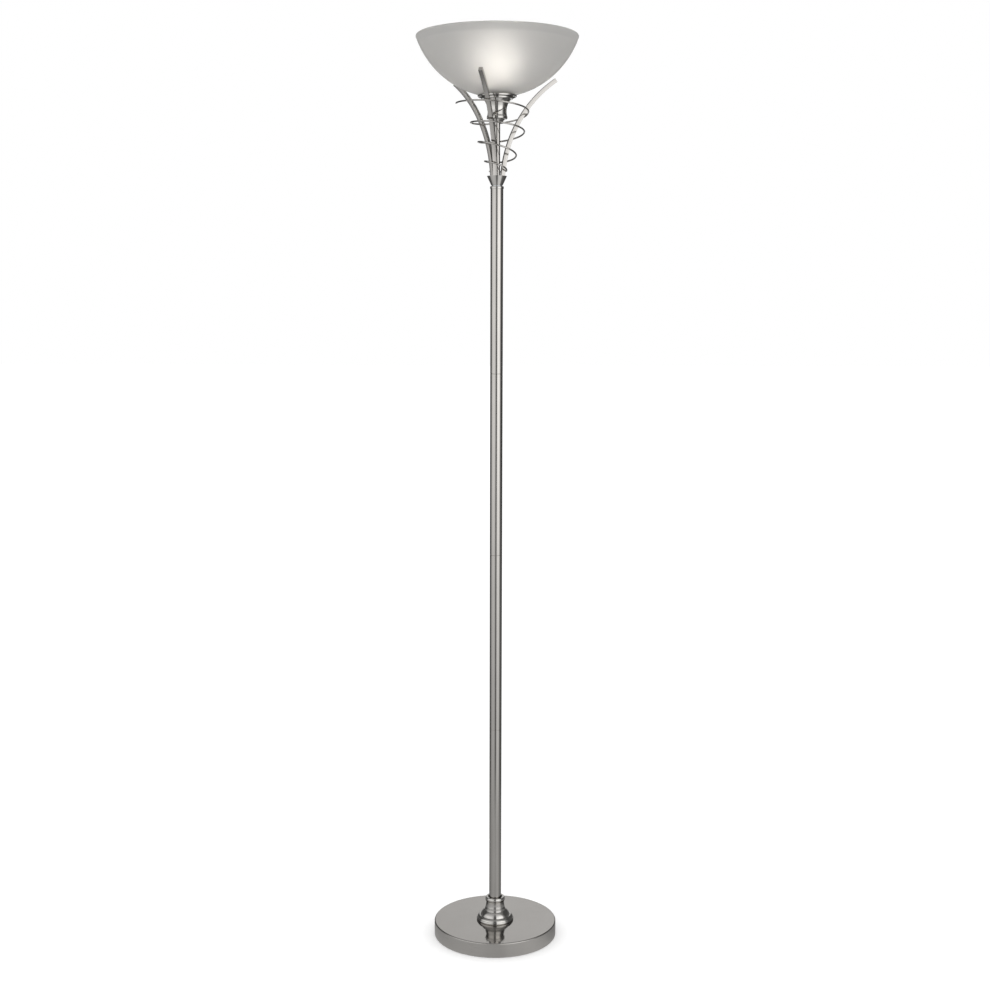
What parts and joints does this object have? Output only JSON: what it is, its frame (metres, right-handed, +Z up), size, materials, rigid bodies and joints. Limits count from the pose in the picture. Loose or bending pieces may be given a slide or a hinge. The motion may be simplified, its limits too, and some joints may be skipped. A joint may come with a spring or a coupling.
{
  "type": "torchiere floor lamp",
  "caption": "Torchiere floor lamp: round weighted base, bell collar, screwed tube pole, bowed bars with a wire spiral, and an upward frosted glass bowl on an E27 lampholder.",
  "frame": {"origin": "on the floor under the pole's axis", "axes": "+Z up along the pole; -Y is the front, and the flex enters the base at +Y"},
  "size_m": [0.3132, 0.3132, 1.82],
  "materials": {
    "satin_nickel": "satin brushed nickel plate",
    "polished_nickel": "polished nickel plate",
    "zinc_steel": "zinc-plated steel",
    "cast_iron": "raw casting",
    "felt": "felt",
    "dark_plastic": "moulded",
    "white_plastic": "moulded",
    "brass": "bright",
    "silicone": "soft",
    "frosted_glass": "frosted white",
    "lamp_glass": "opal white",
    "lead_jacket": "flexible jacket"
  },
  "bodies": {
    "lamp_stand": {"felt_pad": "felt", "base_plate": "zinc_steel", "plate_screws": "zinc_steel", "base_weight": "cast_iron", "base_cover": "satin_nickel", "cord_gland": "dark_plastic", "terminal_block": "white_plastic", "terminal_screws": "brass", "base_rod": "zinc_steel", "base_nut": "zinc_steel", "base_washer": "zinc_steel", "base_collar": "polished_nickel", "foot_insert": "zinc_steel", "top_insert": "zinc_steel", "pole_bead": "polished_nickel", "crown_cup": "polished_nickel", "crown_hub": "zinc_steel", "spiral_wire": "satin_nickel", "centre_nipple": "zinc_steel", "stem_sleeve": "satin_nickel", "stem_nut": "polished_nickel", "holder_cup": "polished_nickel", "holder_nut": "zinc_steel", "gallery_ring": "polished_nickel", "gallery_dish": "polished_nickel", "lower_gasket": "silicone", "glass_bowl": "frosted_glass", "lampholder_cap": "white_plastic", "lampholder_body": "white_plastic", "screw_shell": "brass", "centre_contact": "brass", "holder_terminals": "brass", "internal_lead": "lead_jacket", "arm_right": "satin_nickel", "arm_left": "satin_nickel", "arm_front": "satin_nickel", "pole_tube_1": "satin_nickel", "pole_tube_2": "satin_nickel", "pole_tube_3": "satin_nickel", "pole_tube_4": "satin_nickel", "joint_socket_1": "zinc_steel", "joint_stud_1": "zinc_steel", "joint_socket_2": "zinc_steel", "joint_stud_2": "zinc_steel", "joint_socket_3": "zinc_steel", "joint_stud_3": "zinc_steel"},
    "ring_washer": {"upper_washer": "zinc_steel"},
    "ring": {"shade_ring": "white_plastic"},
    "bulb_foot": {"bulb_contact": "brass"},
    "bulb": {"bulb_cap": "brass", "bulb_globe": "lamp_glass"}
  },
  "joints": [
    {"name": "ring_rise", "type": "slide", "parent": "lamp_stand", "child": "ring_washer", "axis": [0, 0, 1], "range_m": [0, 0.008]},
    {"name": "ring_turn", "type": "hinge", "parent": "ring_washer", "child": "ring", "pos_m": [0, 0, 1.72], "axis": [0, 0, 1], "range_deg": [0, 1440]},
    {"name": "bulb_draw", "type": "slide", "parent": "lamp_stand", "child": "bulb_foot", "axis": [0, 0, 1], "range_m": [0, 0.0254]},
    {"name": "bulb_turn", "type": "hinge", "parent": "bulb_foot", "child": "bulb", "pos_m": [0, 0, 1.73], "axis": [0, 0, 1], "range_deg": [0, 2520]}
  ],
  "couplings": [
    {"joint": "ring_rise", "follows": "ring_turn", "m_per_rad": 0.0003183},
    {"joint": "bulb_draw", "follows": "bulb_turn", "m_per_rad": 0.0005775}
  ]
}
